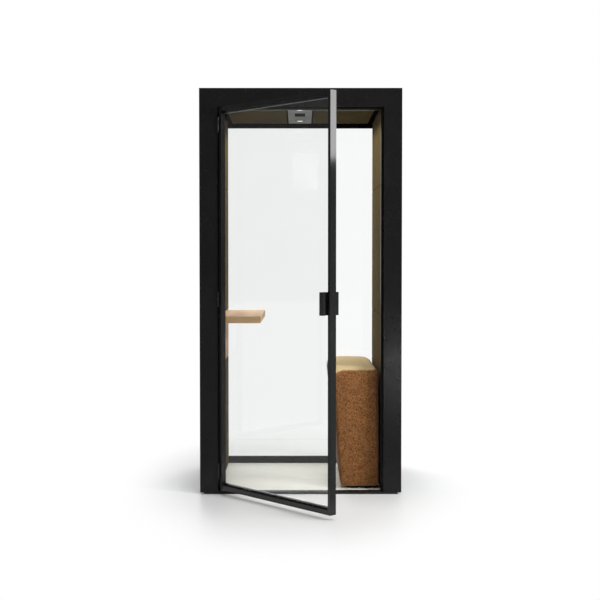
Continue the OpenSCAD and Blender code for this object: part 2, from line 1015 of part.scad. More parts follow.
module door_top_rail() {
    color(BLACK)
        on_door() {
            block([-leaf_x + stile_w, leaf_y0, leaf_z1 - rail_h], [leaf_x - stile_w, glass_y0, leaf_z1]);
            block([-leaf_x + leg_t, glass_y0, leaf_z1 - leg_t], [leaf_x - leg_t, leaf_y1, leaf_z1]);
        }
}

module drop_slot(play) {
    y = leaf_y0 + flange_d / 2;
    w = leaf_x - 24 - play;
    block(
        [-w, y - drop_w / 2 + play, leaf_z0 + (play > 0 ? 1 : -eps)],
        [w, y + drop_w / 2 - play, leaf_z0 + drop_h - play]
    );
}

module door_bottom_rail() {
    color(BLACK)
        on_door()
            difference() {
                union() {
                    block([-leaf_x + stile_w, leaf_y0, leaf_z0], [leaf_x - stile_w, glass_y0, leaf_z0 + rail_h]);
                    block([-leaf_x + leg_t, glass_y0, leaf_z0], [leaf_x - leg_t, leaf_y1, leaf_z0 + leg_t]);
                }
                drop_slot(0);
            }
}

// Drop-down seal in the bottom rail, shown raised.
module drop_seal() {
    color(RUBBER) on_door() drop_slot(drop_play);
}

module bolt_places() {
    for (s = [-1, 1])
        translate([bolt_x, 0, pull_z + s * bolt_pitch / 2]) rotate([-90, 0, 0]) children();
}

module door_glass() {
    color(GLASS)
        on_door()
            difference() {
                block(
                    [-leaf_x + leg_t + glass_play, glass_y0, leaf_z0 + leg_t + glass_play],
                    [leaf_x - leg_t - glass_play, glass_y1, leaf_z1 - leg_t - glass_play]
                );
                bolt_places() translate([0, 0, glass_y0 - eps]) cylinder(r = boss_r + 0.3, h = glass_t + 2 * eps);
            }
}

// Inner beads: taller than the rails at the top and bottom, slim at the sides.
module door_glazing_beads() {
    x = leaf_x - leg_t;
    z0 = leaf_z0 + leg_t;
    z1 = leaf_z1 - leg_t;
    rise = rail_h + bead_rise - leg_t;
    color(BLACK)
        on_door() {
            block([-x, glass_y1, z0], [x, leaf_y1, z0 + rise]);
            block([-x, glass_y1, z1 - rise], [x, leaf_y1, z1]);
            both_sides()
                block([x - bead_w, glass_y1, z0 + rise + joint_gap], [x, leaf_y1, z1 - rise - joint_gap]);
        }
}

// Folded pull outside: a flange on the leaf, a web on the hinge side, a front, and a lip that
// turns back on the latch side and leaves the mouth for the fingers.
module outer_pull() {
    x1 = leaf_x - outer_setback;
    x0 = x1 - outer_pull_w;
    front = leaf_y0 - outer_pull_reach;
    color(BLACK)
        on_door()
            difference() {
                union() {
                    translate([0, 0, pull_z - pull_h / 2])
                        linear_extrude(pull_h) {
                            translate([x1 - outer_pull_foot, leaf_y0 - pull_wall]) square([outer_pull_foot, pull_wall]);
                            translate([x0, front]) square([pull_wall, outer_pull_reach]);
                            translate([x0, front]) square([outer_pull_w, pull_wall]);
                            translate([x1 - pull_wall, front]) square([pull_wall, outer_pull_lip]);
                        }
                    bolt_places() translate([0, 0, leaf_y0 - eps]) cylinder(r = boss_r, h = flange_d + eps);
                }
                bolt_places()
                    translate([0, 0, leaf_y0 - pull_wall - eps])
                        cylinder(r = bolt_r + bolt_play, h = flange_d + pull_wall + 2 * eps);
            }
}

// Channel pull inside: its web faces the latch side and its mouth the hinge side.
module inner_pull() {
    x1 = leaf_x - inner_setback;
    x0 = x1 - inner_pull_w;
    reach = inner_pull_reach;
    boss_l = leaf_y1 - glass_y1;
    color(BLACK)
        on_door()
            difference() {
                union() {
                    translate([0, 0, pull_z - pull_h / 2])
                        linear_extrude(pull_h)
                            difference() {
                                translate([x0, leaf_y1]) square([x1 - x0, reach]);
                                translate([x0 - eps, leaf_y1 + pull_wall])
                                    square([x1 - x0 - pull_wall + eps, reach - 2 * pull_wall]);
                            }
                    bolt_places() translate([0, 0, glass_y1]) cylinder(r = boss_r, h = boss_l + eps);
                }
                bolt_places()
                    translate([0, 0, glass_y1 - eps])
                        cylinder(r = bolt_r + bolt_play, h = boss_l + pull_wall + 2 * eps);
            }
}

// Through-bolts with a head on the outer flange and a nut in the inner channel.
module pull_bolts() {
    y0 = leaf_y0 - pull_wall;
    y1 = leaf_y1 + pull_wall;
    color(STEEL)
        on_door()
            bolt_places() {
                translate([0, 0, y0 - bolt_head_t]) cylinder(r = bolt_head_r, h = bolt_head_t);
                translate([0, 0, y0 - eps]) cylinder(r = bolt_r, h = y1 - y0 + 2 * eps);
                translate([0, 0, y1]) cylinder(r = bolt_head_r, h = 4, $fn = 6);
            }
}

// ---- seat ----

// Position of the slanted left side at a height.
function seat_left(z) =
    seat_right - seat_foot_w - (seat_top_w - seat_foot_w) * (z - seat_bottom) / (seat_z - seat_bottom);

// Padded body: upright on the wall side, leaning out over the cabin on the other.
module seat_cushion() {
    slant = sqrt(1 + pow((seat_top_w - seat_foot_w) / (seat_z - seat_bottom), 2));
    color("#8a5a34")
        hull()
            for (level = [
                [seat_z, -1, seat_top_r, seat_wall_r],
                [seat_bottom, 1, seat_foot_r, seat_foot_r]
            ]) {
                left_z = level[0] + level[1] * level[2];
                right_z = level[0] + level[1] * level[3];
                for (y = [seat_y0 + level[2], seat_y0 + seat_l - level[2]])
                    translate([seat_left(left_z) + level[2] * slant, y, left_z]) sphere(r = level[2], $fn = 32);
                for (y = [seat_y0 + level[3], seat_y0 + seat_l - level[3]])
                    translate([seat_right - level[3], y, right_z]) sphere(r = level[3], $fn = 32);
            }
}

module seat_base_plate() {
    color(RUBBER)
        block(
            [seat_right - seat_foot_w + seat_plate_inset, seat_y0 + 40, seat_bottom - seat_plate_t],
            [seat_right - seat_plate_inset, seat_y0 + seat_l - 40, seat_bottom]
        );
}

module seat_feet() {
    x1 = seat_right - 62;
    color(RUBBER)
        for (x = [x1 - seat_foot_pitch, x1], y = [seat_y0 + 65, seat_y0 + seat_l - 65])
            translate([x, y, floor_z])
                cylinder(r1 = seat_foot_pad_r - 2, r2 = seat_foot_pad_r, h = seat_bottom - seat_plate_t - floor_z);
}

base_plate();
leveling_feet();
floor_covering();
threshold_plate();
front_left_post();
front_right_post();
front_header();
rear_left_post();
rear_right_post();
rear_header();
rear_bottom_rail();
corner_brackets();
rear_glass();
rear_glass_seal();
left_outer_panel();
right_outer_panel();
left_wall_frame();
right_wall_frame();
wall_insulation();
left_lower_felt();
table_back_board();
left_upper_felts();
right_lower_felts();
right_upper_felts();
ceiling_board();
ceiling_felts();
ceiling_unit();
light_trims();
light_lenses();
lamp_modules();
led_driver();
vent_grille();
fan_frames();
intake_fan_rotor();
exhaust_fan_rotor();
roof_panel();
roof_vents();
cable_gland();
table_top();
table_brackets();
power_module();
light_button();
door_stop();
door_seal();
hinge_frame_halves();
hinge_pins();
hinge_door_halves();
door_hinge_stile();
door_latch_stile();
door_top_rail();
door_bottom_rail();
door_glass();
door_glazing_beads();
drop_seal();
outer_pull();
inner_pull();
pull_bolts();
seat_cushion();
seat_base_plate();
seat_feet();
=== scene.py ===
# %% [markdown]
# # An acoustic office pod
#
# A one-person phone booth: two black portal frames, felt-lined side walls, a glass back wall, a
# glass door that stands open, a narrow standing table and a padded perch seat. The pieces that
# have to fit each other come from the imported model. This lesson gives each of them its finish,
# and models the seat as a soft, upholstered body.

import math

import bmesh
import bpy
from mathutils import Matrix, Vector, noise


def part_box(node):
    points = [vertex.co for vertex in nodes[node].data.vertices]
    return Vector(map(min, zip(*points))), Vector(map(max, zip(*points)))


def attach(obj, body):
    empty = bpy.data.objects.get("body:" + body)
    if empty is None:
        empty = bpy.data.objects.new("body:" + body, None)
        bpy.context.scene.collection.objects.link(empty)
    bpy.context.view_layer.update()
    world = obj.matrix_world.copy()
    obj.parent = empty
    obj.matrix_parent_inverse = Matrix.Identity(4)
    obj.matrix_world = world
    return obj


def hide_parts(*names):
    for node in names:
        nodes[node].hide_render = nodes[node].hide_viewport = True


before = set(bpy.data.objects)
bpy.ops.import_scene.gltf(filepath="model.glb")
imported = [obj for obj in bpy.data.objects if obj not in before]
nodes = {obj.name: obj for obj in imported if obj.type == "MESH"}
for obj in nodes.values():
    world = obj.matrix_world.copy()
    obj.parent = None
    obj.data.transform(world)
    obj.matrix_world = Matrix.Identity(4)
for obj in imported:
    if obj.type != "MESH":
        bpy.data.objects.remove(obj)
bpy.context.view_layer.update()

# %% [markdown]
# ## The camera
#
# A camera in Blender looks along its own -Z axis. Turned up by 90 degrees it looks level along +Y,
# and a few degrees less than that tilts it down. The focal length is written in pixels of the
# square frame: an object as wide as its distance from the camera would fill that many. A lens in
# millimetres is the same number, scaled to the width of the sensor.

# %% Camera
IMAGE_WIDTH = 600
FOCAL_PIXELS = 1192.9
SENSOR_WIDTH = 36.0
EYE = Vector((-0.006, -7.102, 1.306))
TILT_DOWN = math.radians(1.947)
TURN_RIGHT = math.radians(0.02)

camera_data = bpy.data.cameras.new("camera")
camera_data.sensor_width = SENSOR_WIDTH
camera_data.lens = FOCAL_PIXELS / IMAGE_WIDTH * SENSOR_WIDTH
camera = bpy.data.objects.new("camera", camera_data)
camera.location = EYE
camera.rotation_euler = (math.pi / 2 - TILT_DOWN, 0, -TURN_RIGHT)
bpy.context.scene.collection.objects.link(camera)
bpy.context.scene.camera = camera
bpy.context.scene.view_settings.view_transform = "Standard"
print(f"lens: {camera_data.lens:.1f} mm")

# %% [markdown]
# ## Small helpers for node trees
#
# Every material below is a graph of nodes. A few helpers keep the graphs short: `feed` links or
# sets one input, `add` makes a node and feeds its inputs by name, and `new_material` starts a
# material with its shader and output.


# %% Node helpers
def feed(tree, socket, value):
    """Links another node's output to a socket, or sets the socket's constant."""
    if isinstance(value, bpy.types.NodeSocket):
        tree.links.new(value, socket)
    else:
        socket.default_value = value


def add(tree, kind, inputs=None, **settings):
    """A new node. inputs names its sockets, or numbers them where names repeat."""
    node = tree.nodes.new(kind)
    for name, value in settings.items():
        setattr(node, name, value)
    for name, value in (inputs or {}).items():
        feed(tree, node.inputs[name], value)
    return node


def new_material(name, **sockets):
    """A material with one Principled shader, whose constant sockets are set by name."""
    material = bpy.data.materials.new(name)
    material.use_nodes = True
    tree = material.node_tree
    tree.nodes.clear()
    shader = add(tree, "ShaderNodeBsdfPrincipled", sockets)
    output = add(tree, "ShaderNodeOutputMaterial")
    tree.links.new(shader.outputs["BSDF"], output.inputs["Surface"])
    return material, tree, shader


def show(tree, shader):
    """Makes another shader the one that the material's output shows."""
    output = next(node for node in tree.nodes if node.type == "OUTPUT_MATERIAL")
    tree.links.new(shader.outputs[0], output.inputs["Surface"])


def announce(*materials):
    print("made:", ", ".join(material.name.split(".")[0] for material in materials))


# %% [markdown]
# ## Short names for the nodes that come back
#
# Coordinates, noise, ranges, mixes and sums are needed in almost every finish. Blender's Mix node
# has a set of sockets for each kind of value under the same names, so its sockets are told apart by
# their numbers.

# %% Common nodes
MIX_FACTOR = 0
MIX_VECTORS = (4, 5)
MIX_COLOURS = (6, 7)
MIXED_VECTOR = 1
MIXED_COLOUR = 2


def object_point(tree):
    return add(tree, "ShaderNodeTexCoord").outputs["Object"]


def noise_value(tree, point, scale, detail=2.0, roughness=0.5, distortion=0.0):
    inputs = {"Vector": point, "Scale": scale, "Detail": detail, "Roughness": roughness,
              "Distortion": distortion}
    return add(tree, "ShaderNodeTexNoise", inputs).outputs["Fac"]


def mapped(tree, value, low, high, to_low=0.0, to_high=1.0, ease="LINEAR"):
    """Carries value from the range low..high to another, and clamps it there."""
    inputs = {"Value": value, "From Min": low, "From Max": high, "To Min": to_low, "To Max": to_high}
    return add(tree, "ShaderNodeMapRange", inputs, interpolation_type=ease).outputs["Result"]


def mixed(tree, factor, first, second, blend="MIX"):
    node = add(tree, "ShaderNodeMix", data_type="RGBA", blend_type=blend)
    for index, value in zip((MIX_FACTOR, *MIX_COLOURS), (factor, first, second)):
        feed(tree, node.inputs[index], value)
    return node.outputs[MIXED_COLOUR]


def arithmetic(tree, operation, first, second):
    node = add(tree, "ShaderNodeMath", operation=operation)
    for socket, value in zip(node.inputs, (first, second)):
        feed(tree, socket, value)
    return node.outputs[0]


def bumped(tree, height, strength, distance):
    inputs = {"Height": height, "Strength": strength, "Distance": distance}
    return add(tree, "ShaderNodeBump", inputs).outputs["Normal"]


def colour(red, green, blue):
    return (red, green, blue, 1.0)


# %% [markdown]
# ## Effects that several finishes share
#
# Mottling, felt fibres, the orange peel of powder paint and a little dust on level faces come back
# in many of the pod's materials. Each is a node group with named inputs, built once and placed
# wherever it is needed with its own values.


# %% Node group helpers
def new_group(name, inputs, outputs):
    """A shader node group. inputs and outputs are lists of (title, kind, default)."""
    group = bpy.data.node_groups.new(name, "ShaderNodeTree")
    for title, kind, default in inputs:
        socket = group.interface.new_socket(title, in_out="INPUT", socket_type=kind)
        socket.default_value = default
    for title, kind in outputs:
        group.interface.new_socket(title, in_out="OUTPUT", socket_type=kind)
    entry = group.nodes.new("NodeGroupInput").outputs
    leaving = group.nodes.new("NodeGroupOutput").inputs
    return group, entry, leaving


def place(tree, group, inputs=None):
    """Puts a node group into a tree, reads it at the object's own coordinates, and returns its outputs."""
    node = add(tree, "ShaderNodeGroup", node_tree=group)
    for name, value in {"Point": object_point(tree), **(inputs or {})}.items():
        feed(tree, node.inputs[name], value)
    return node.outputs


FLOAT = "NodeSocketFloat"
COLOUR = "NodeSocketColor"
VECTOR = "NodeSocketVector"

# %% Mottling: soft blotches between two colours
mottle, entry, leaving = new_group(
    "mottle",
    [("Point", VECTOR, (0, 0, 0)), ("Dark", COLOUR, colour(0.1, 0.1, 0.1)),
     ("Light", COLOUR, colour(0.2, 0.2, 0.2)), ("Scale", FLOAT, 5.0)],
    [("Color", COLOUR), ("Mask", FLOAT)],
)
patches = noise_value(mottle, entry["Point"], entry["Scale"], 4.0, 0.6)
mask = mapped(mottle, patches, 0.35, 0.65)
mottle.links.new(mixed(mottle, mask, entry["Dark"], entry["Light"]), leaving["Color"])
mottle.links.new(mask, leaving["Mask"])

# %% Fibres: short crossing threads, as in pressed felt
THREAD_LAYERS = ((0.3, 0.16), (1.4, 0.2), (2.5, 0.18))  # each layer's turn in radians, and its stretch

fibres, entry, leaving = new_group(
    "fibres",
    [("Point", VECTOR, (0, 0, 0)), ("Threads", FLOAT, 600.0)],
    [("Shade", FLOAT), ("Height", FLOAT)],
)
layers = []
for turn, stretch in THREAD_LAYERS:
    turned = add(fibres, "ShaderNodeMapping", {"Vector": entry["Point"]})
    turned.inputs["Rotation"].default_value = (turn, turn * 0.7, turn * 1.3)
    turned.inputs["Scale"].default_value = (1.0, stretch, 1.0)
    threads = noise_value(fibres, turned.outputs[0], entry["Threads"])
    layers.append(mapped(fibres, threads, 0.42, 0.62))
woven = arithmetic(fibres, "MAXIMUM", arithmetic(fibres, "MAXIMUM", layers[0], layers[1]), layers[2])
fibres.links.new(woven, leaving["Height"])
fibres.links.new(woven, leaving["Shade"])

# %% Peel: the fine waviness of sprayed and baked paint
peel, entry, leaving = new_group(
    "peel",
    [("Point", VECTOR, (0, 0, 0)), ("Grain", FLOAT, 500.0)],
    [("Height", FLOAT)],
)
peel.links.new(noise_value(peel, entry["Point"], entry["Grain"], 1.0), leaving["Height"])

# %% Dust: a thin pale film where a face looks up
dust, entry, leaving = new_group(
    "dust",
    [("Point", VECTOR, (0, 0, 0)), ("Amount", FLOAT, 0.2), ("Clean", COLOUR, colour(0, 0, 0))],
    [("Color", COLOUR), ("Film", FLOAT)],
)
DUST_COLOUR = colour(0.16, 0.15, 0.13)
facing = add(dust, "ShaderNodeNewGeometry").outputs["Normal"]
upward = add(dust, "ShaderNodeSeparateXYZ", {"Vector": facing}).outputs["Z"]
settled = mapped(dust, upward, 0.6, 1.0)
broken = mapped(dust, noise_value(dust, entry["Point"], 35.0, 5.0, 0.65), 0.35, 0.7)
film = arithmetic(dust, "MULTIPLY", arithmetic(dust, "MULTIPLY", settled, broken), entry["Amount"])
dust.links.new(mixed(dust, film, entry["Clean"], DUST_COLOUR), leaving["Color"])
dust.links.new(film, leaving["Film"])
print("groups:", ", ".join(group.name for group in bpy.data.node_groups))

# %% [markdown]
# ## Painted and anodised metal
#
# The portal frames are powder coated: nearly black, satin, with a fine orange peel. The door's
# slim profile is anodised, so it is smoother and throws a sharper reflection. Boards and moulded
# plastic differ only in colour, gloss and grain. All come from one function with a few values.

# %% Painted metal
BLOTCHES = 3.5  # scale of the colour's changes, per metre
WEAR = 9.0  # scale of the changes in gloss, per metre
GRAIN_DEPTH = 0.001


def painted(name, dark, light, rough, grain=450.0, relief=0.06, dusty=0.12, level=0.5, metallic=0.0):
    material, tree, shader = new_material(name, **{"Specular IOR Level": level, "Metallic": metallic})
    spots = place(tree, mottle, {"Dark": dark, "Light": light, "Scale": BLOTCHES})
    settled = place(tree, dust, {"Clean": spots["Color"], "Amount": dusty})
    tree.links.new(settled["Color"], shader.inputs["Base Color"])
    worn = mapped(tree, noise_value(tree, object_point(tree), WEAR, 4.0), 0.3, 0.7, rough, rough * 1.3)
    tree.links.new(arithmetic(tree, "ADD", worn, settled["Film"]), shader.inputs["Roughness"])
    height = place(tree, peel, {"Grain": grain})["Height"]
    tree.links.new(bumped(tree, height, relief, GRAIN_DEPTH), shader.inputs["Normal"])
    return material


# %% Metal finishes
powder_black = painted("powder_black", colour(0.0060, 0.0055, 0.0057), colour(0.0078, 0.0072, 0.0074), 0.17,
                       relief=0.03, level=0.25)
anodised_black = painted("anodised_black", colour(0.0075, 0.0075, 0.0077), colour(0.010, 0.010, 0.0102),
                         0.09, grain=250.0, relief=0.008, dusty=0.05)
bright_steel = painted("bright_steel", colour(0.42, 0.42, 0.43), colour(0.55, 0.55, 0.56), 0.28,
                       grain=900.0, relief=0.05, dusty=0.0, metallic=1.0)
unit_grey = painted("unit_grey", colour(0.20, 0.215, 0.207), colour(0.25, 0.265, 0.257), 0.38, dusty=0.0)
announce(powder_black, anodised_black, bright_steel, unit_grey)

# %% Board and plastic finishes
skin_black = painted("skin_black", colour(0.0085, 0.0085, 0.0085), colour(0.013, 0.0125, 0.0125), 0.42,
                     grain=900.0, relief=0.15)
# Black board, far blacker than paint: painted shade for the deep gap round the ceiling felt.
board_black = painted("board_black", colour(0.0006, 0.0006, 0.0006), colour(0.0012, 0.0012, 0.0012), 0.85,
                      grain=700.0, relief=0.12, dusty=0.0, level=0.03)
plinth_black = painted("plinth_black", colour(0.006, 0.006, 0.006), colour(0.010, 0.010, 0.010), 0.5,
                       grain=700.0, relief=0.1, dusty=0.0)
moulded_black = painted("moulded_black", colour(0.007, 0.007, 0.007), colour(0.012, 0.012, 0.012), 0.45,
                        grain=1400.0, relief=0.2, dusty=0.1)
moulded_white = painted("moulded_white", colour(0.55, 0.55, 0.53), colour(0.65, 0.65, 0.63), 0.4,
                        grain=1400.0, relief=0.1, dusty=0.3)
announce(skin_black, board_black, plinth_black, moulded_black, moulded_white)

# %% [markdown]
# ## The floor covering
#
# The floor of the cabin is pale linoleum. It is satin like paint, so the same function makes it. Seen
# at a grazing angle it mirrors the bright background behind the glass, which makes it almost white.

# %% Floor covering
pale_lino = painted("pale_lino", colour(0.84, 0.84, 0.77), colour(0.90, 0.90, 0.84), 0.30,
                    grain=500.0, relief=0.04, dusty=0.0)
announce(pale_lino)

# %% [markdown]
# ## Rubber
#
# Gaskets, feet and the cable gland are soft black rubber: no shine to speak of, and a bloom that
# makes the colour uneven.


# %% Rubber
def rubber():
    material, tree, shader = new_material("rubber", **{"Specular IOR Level": 0.3})
    bloom = place(tree, mottle, {"Dark": colour(0.004, 0.004, 0.004), "Light": colour(0.010, 0.010, 0.010),
                                 "Scale": 60.0})
    tree.links.new(bloom["Color"], shader.inputs["Base Color"])
    tree.links.new(mapped(tree, bloom["Mask"], 0, 1, 0.6, 0.8), shader.inputs["Roughness"])
    height = place(tree, peel, {"Grain": 1800.0})["Height"]
    tree.links.new(bumped(tree, height, 0.25, GRAIN_DEPTH), shader.inputs["Normal"])
    return material


rubber_black = rubber()
announce(rubber_black)

# %% [markdown]
# ## Felt
#
# The lining is pressed polyester felt, made of short threads of slightly different dye that lie in
# every direction. The threads set both the colour and a shallow relief, and a broad mottling keeps
# a large panel from looking printed. A weak sheen stands for the loose fibres at grazing angles.
# The insulation inside the walls is built the same way, from longer and paler threads.

# %% Felt
THREAD_DEPTH = 0.0015


def felt(name, dark, light, threads, relief):
    sockets = {"Roughness": 0.95, "Specular IOR Level": 0.05, "Sheen Weight": 0.02, "Sheen Roughness": 0.6}
    material, tree, shader = new_material(name, **sockets)
    strands = place(tree, fibres, {"Threads": threads})
    base = mixed(tree, strands["Shade"], dark, light)
    blotches = place(tree, mottle, {"Dark": colour(0.9, 0.9, 0.9), "Light": colour(1, 1, 1), "Scale": 6.0})
    tree.links.new(mixed(tree, 1.0, base, blotches["Color"], "MULTIPLY"), shader.inputs["Base Color"])
    tree.links.new(bumped(tree, strands["Height"], relief, THREAD_DEPTH), shader.inputs["Normal"])
    return material


olive_felt = felt("olive_felt", colour(0.088, 0.063, 0.024), colour(0.138, 0.102, 0.042), 420.0, 0.5)
# A darker copy of the wall felt for the ceiling: painted shade, as the ceiling gets less light.
ceiling_felt = felt("ceiling_felt", colour(0.062, 0.045, 0.015), colour(0.098, 0.073, 0.026), 420.0, 0.5)
mineral_wool = felt("mineral_wool", colour(0.42, 0.34, 0.18), colour(0.60, 0.50, 0.28), 200.0, 0.8)
announce(olive_felt, ceiling_felt, mineral_wool)

# %% [markdown]
# ## Oak
#
# The table and the board behind it are faced with oak. Real grain is a stack of growth rings cut
# lengthwise: long streaks along the board, finer pores inside them, and whole planks that differ in
# tone. Stretching the coordinates along the grain before reading a noise gives exactly that. The
# short edges carry an edge band whose streaks run across, so there the coordinates are turned.
# They are also darker and warmer than the top: painted shade, since the light falls mainly on the
# top. The studs inside the walls are the same timber made near black: painted shade, so that the
# seams between the felt panels look dark.

# %% Oak
GRAIN_STRETCH = 0.09
STREAKS = 45.0  # this and the next two are scales per metre, across the grain
PORES = 420.0
PLANKS = 9.0
END_FACING = 0.7  # a face is a short edge when its normal points this much along the board


def along_grain(tree):
    """Coordinates stretched along the grain, and a mask of the short edges, where they are turned."""
    point = object_point(tree)
    turned = add(tree, "ShaderNodeMapping", {"Vector": point})
    turned.inputs["Rotation"].default_value = (0, 0, math.pi / 2)
    facing = add(tree, "ShaderNodeTexCoord").outputs["Normal"]
    ends = add(tree, "ShaderNodeSeparateXYZ", {"Vector": facing}).outputs["Y"]
    is_end = arithmetic(tree, "GREATER_THAN", arithmetic(tree, "ABSOLUTE", ends, 0.0), END_FACING)
    along = add(tree, "ShaderNodeMix", data_type="VECTOR")
    for index, value in zip((MIX_FACTOR, *MIX_VECTORS), (is_end, point, turned.outputs[0])):
        feed(tree, along.inputs[index], value)
    stretched = add(tree, "ShaderNodeMapping", {"Vector": along.outputs[MIXED_VECTOR]})
    stretched.inputs["Scale"].default_value = (1.0, GRAIN_STRETCH, 1.0)
    return stretched.outputs[0], is_end


def oak(name, dark, light, pale, end_face_shade=(1, 1, 1, 1)):
    material, tree, shader = new_material(name, **{"Specular IOR Level": 0.4})
    point, is_end = along_grain(tree)
    streaks = noise_value(tree, point, STREAKS, 5.0, 0.6, 0.6)
    pores = noise_value(tree, point, PORES)
    planks = noise_value(tree, point, PLANKS, 1.0)
    grain = mixed(tree, mapped(tree, streaks, 0.35, 0.68), dark, light)
    toned = mixed(tree, mapped(tree, planks, 0.4, 0.62), grain, pale)
    pored = mixed(tree, mapped(tree, pores, 0.62, 0.74, 0.0, 0.45), toned, dark)
    # painted shade: the short end faces take a darker, warmer tone than the top
    end_shaded = mixed(tree, is_end, pored, mixed(tree, 1.0, pored, end_face_shade, "MULTIPLY"))
    tree.links.new(end_shaded, shader.inputs["Base Color"])
    tree.links.new(mapped(tree, streaks, 0.3, 0.7, 0.42, 0.55), shader.inputs["Roughness"])
    tree.links.new(bumped(tree, pores, 0.12, 0.0006), shader.inputs["Normal"])
    return material


# The darker, warmer tone for the short end faces is painted shade.
table_oak = oak("table_oak", colour(0.48, 0.285, 0.145), colour(0.66, 0.415, 0.225),
                colour(0.73, 0.465, 0.27), end_face_shade=colour(0.54, 0.54, 0.42))
# Near-black timber for the studs: painted shade, so the seams between the felt panels look dark.
seam_shade_studs = oak("seam_shade_studs", colour(0.012, 0.009, 0.005), colour(0.022, 0.016, 0.009),
                  colour(0.030, 0.022, 0.013))
announce(table_oak, seam_shade_studs)

# %% [markdown]
# ## Glass
#
# Clear safety glass, very slightly green. The panes are real slabs, so the shader bends and
# reflects light on both faces. A pane would also throw a solid shadow, because a lamp can't be
# sampled through a refracting surface. For shadow and diffuse rays the glass is therefore a plain
# tinted filter, and the light falls through it as through a real window.


# %% Glass
def clear_glass():
    sockets = {"Transmission Weight": 1.0, "IOR": 1.45, "Roughness": 0.0}
    material, tree, shader = new_material("clear_glass", **sockets)
    smears = noise_value(tree, object_point(tree), 2.5, 4.0, 0.6)
    smeared = mapped(tree, smears, 0.35, 0.7)
    tint = mixed(tree, smeared, colour(0.99, 1.0, 0.995), colour(0.985, 0.995, 0.99))
    tree.links.new(tint, shader.inputs["Base Color"])
    path = add(tree, "ShaderNodeLightPath")
    passing = arithmetic(tree, "MAXIMUM", path.outputs["Is Shadow Ray"], path.outputs["Is Diffuse Ray"])
    clear = add(tree, "ShaderNodeBsdfTransparent", {"Color": colour(0.95, 0.965, 0.96)})
    both = add(tree, "ShaderNodeMixShader", {"Fac": passing, 1: shader.outputs[0], 2: clear.outputs[0]})
    show(tree, both)
    return material


glass = clear_glass()
announce(glass)

# %% [markdown]
# ## Lamp lenses
#
# The two ceiling spots are lit. A lens is a frosted disc, so its glow is slightly uneven.


# %% Lens
def lit_lens():
    material, tree, shader = new_material("lit_lens", **{"Roughness": 0.4, "Emission Strength": 1.6})
    frost = noise_value(tree, object_point(tree), 300.0, 2.0)
    glow = mixed(tree, mapped(tree, frost, 0.3, 0.7), colour(0.92, 0.90, 0.84), colour(1.0, 0.98, 0.93))
    tree.links.new(glow, shader.inputs["Base Color"])
    tree.links.new(glow, shader.inputs["Emission Color"])
    return material


lens_white = lit_lens()
announce(lens_white)

# %% [markdown]
# ## Hand the finishes out
#
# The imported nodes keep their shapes. Each only swaps the plain material it arrived with.

# %% Assign finishes
FINISHES = {
    powder_black: ["front_left_post", "front_right_post", "front_header", "rear_left_post",
                   "rear_right_post", "rear_header", "rear_bottom_rail", "threshold_plate", "door_stop",
                   "table_brackets"],
    anodised_black: ["door_hinge_stile", "door_latch_stile", "door_top_rail", "door_bottom_rail",
                     "door_glazing_beads", "outer_pull", "inner_pull", "hinge_frame_halves",
                     "hinge_door_halves"],
    skin_black: ["left_outer_panel", "right_outer_panel", "roof_panel"],
    board_black: ["ceiling_board"],
    plinth_black: ["base_plate"],
    moulded_black: ["vent_grille", "fan_frames", "intake_fan_rotor", "exhaust_fan_rotor", "roof_vents",
                    "power_module", "seat_base_plate"],
    moulded_white: ["led_driver"],
    bright_steel: ["leveling_feet", "corner_brackets", "hinge_pins", "pull_bolts", "lamp_modules"],
    rubber_black: ["rear_glass_seal", "door_seal", "drop_seal", "seat_feet", "cable_gland"],
    unit_grey: ["ceiling_unit", "light_trims", "light_button"],
    olive_felt: ["left_lower_felt", "left_upper_felts", "right_lower_felts", "right_upper_felts"],
    ceiling_felt: ["ceiling_felts"],
    pale_lino: ["floor_covering"],
    mineral_wool: ["wall_insulation"],
    table_oak: ["table_top", "table_back_board"],
    seam_shade_studs: ["left_wall_frame", "right_wall_frame"],
    glass: ["rear_glass", "door_glass"],
    lens_white: ["light_lenses"],
}


def finish_node(name, material):
    slots = nodes[name].data.materials
    slots.clear()
    slots.append(material)


for material, names in FINISHES.items():
    for name in names:
        finish_node(name, material)
covered = {name for names in FINISHES.values() for name in names}
print("still plain:", sorted(set(nodes) - covered))

# %% [markdown]
# ## The seat's body
#
# The perch seat is foam over a carcass, pulled into a cover: upright on the wall side, leaning out
# over the room on the other, with generous curves at the top and tight ones at the foot. The packed
# cushion solid already has this outline, but its skin is a few long facets, which can neither
# stretch nor carry a relief. A voxel remesh rebuilds the same form with an even grid, a little
# smaller than the solid, so that there is room for the cover to swell.

# %% Seat form
CELL = 0.007
SHRINK = 0.0028

seat_low, seat_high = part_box("seat_cushion")


def apply_modifiers(piece):
    depsgraph = bpy.context.evaluated_depsgraph_get()
    data = bpy.data.meshes.new_from_object(piece.evaluated_get(depsgraph))
    piece.modifiers.clear()
    old = piece.data
    piece.data = data
    bpy.data.meshes.remove(old)


def seat_blank():
    piece = bpy.data.objects.new("seat_cover", nodes["seat_cushion"].data.copy())
    bpy.context.scene.collection.objects.link(piece)
    remesh = piece.modifiers.new("even_grid", "REMESH")
    remesh.mode = "VOXEL"
    remesh.voxel_size = CELL
    apply_modifiers(piece)
    normals = [vertex.normal.copy() for vertex in piece.data.vertices]
    for vertex, normal in zip(piece.data.vertices, normals):
        vertex.co -= normal * SHRINK
    return piece


seat = seat_blank()
print("seat blank:", len(seat.data.vertices), "points,", tuple(round(s, 3) for s in seat_high - seat_low))

# %% [markdown]
# ## Let the foam push the cover out
#
# Upholstery is never flat: the foam presses the cover outwards and the cover holds it in at the
# edges. Blender's cloth with a little inner pressure does the same. The pressure acts for twenty
# frames without gravity, and no point may travel further than a few millimetres, so that the seat
# still fits the space it was given.

# %% Inflate
PRESSURE = 4.0
STIFFNESS = 40.0
FRAMES = 20
TRAVEL_LIMIT = 0.0025


